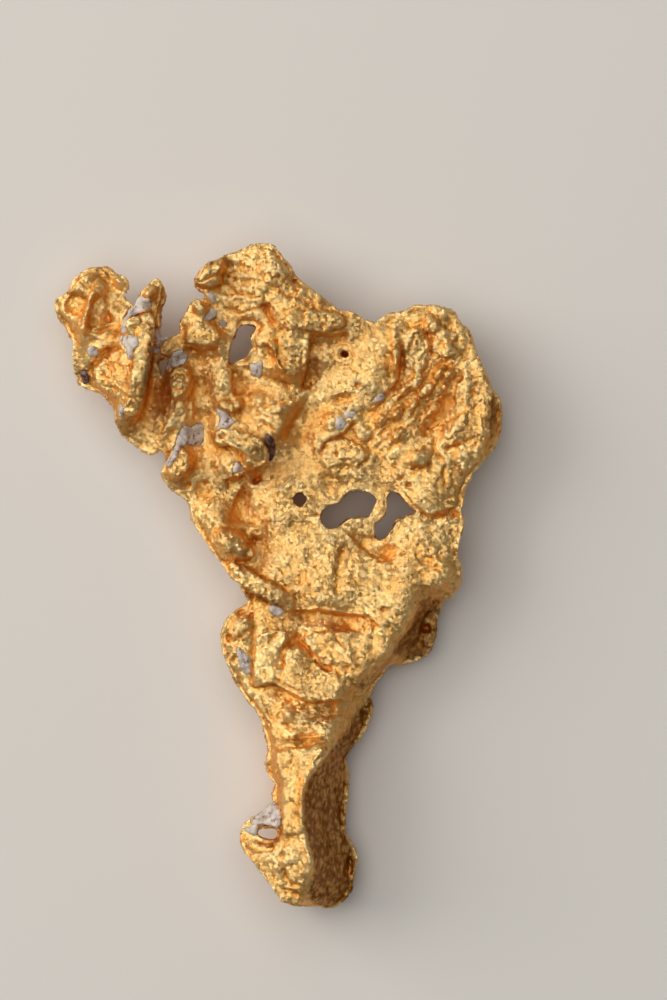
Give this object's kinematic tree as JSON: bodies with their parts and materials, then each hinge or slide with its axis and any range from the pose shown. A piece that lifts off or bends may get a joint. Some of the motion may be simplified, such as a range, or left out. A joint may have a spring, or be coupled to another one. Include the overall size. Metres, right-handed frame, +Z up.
{
  "type": "gold nugget",
  "caption": "Native gold nugget, a ragged folded sheet with lobes, holes and a thick leg, with bits of milky quartz in its folds, lying on its back.",
  "frame": {"origin": "on the surface that the nugget lies on, under the middle of its outline", "axes": "+Y along its length towards the top lobe, +X to the right of the side that shows, +Z up out of the surface, the side that shows"},
  "size_m": [0.0408, 0.0606, 0.0104],
  "materials": {
    "native_gold": "native gold, water-worn and finely hammered",
    "milky_quartz": "rough milky quartz",
    "stained_quartz": "rough quartz, stained brown by iron"
  },
  "bodies": {
    "root": {"gold": "native_gold", "quartz_spur_web": "milky_quartz", "quartz_ridge_patch": "milky_quartz", "quartz_arm_web": "milky_quartz", "quartz_arm_ball": "milky_quartz", "quartz_left_chip": "milky_quartz", "quartz_left_flange": "stained_quartz", "quartz_ridge_foot": "milky_quartz", "quartz_channel_bed": "milky_quartz", "quartz_triangle": "milky_quartz", "quartz_curl_lip": "milky_quartz", "quartz_curl_brown": "stained_quartz", "quartz_window_chip": "milky_quartz", "quartz_slit": "milky_quartz", "quartz_plate_chip": "milky_quartz", "quartz_basin_chip": "milky_quartz", "quartz_leaf_edge": "milky_quartz", "quartz_rim_chip": "milky_quartz", "quartz_waist": "milky_quartz", "quartz_body_edge": "milky_quartz", "quartz_foot": "milky_quartz", "quartz_foot_corner": "milky_quartz"}
  },
  "joints": []
}
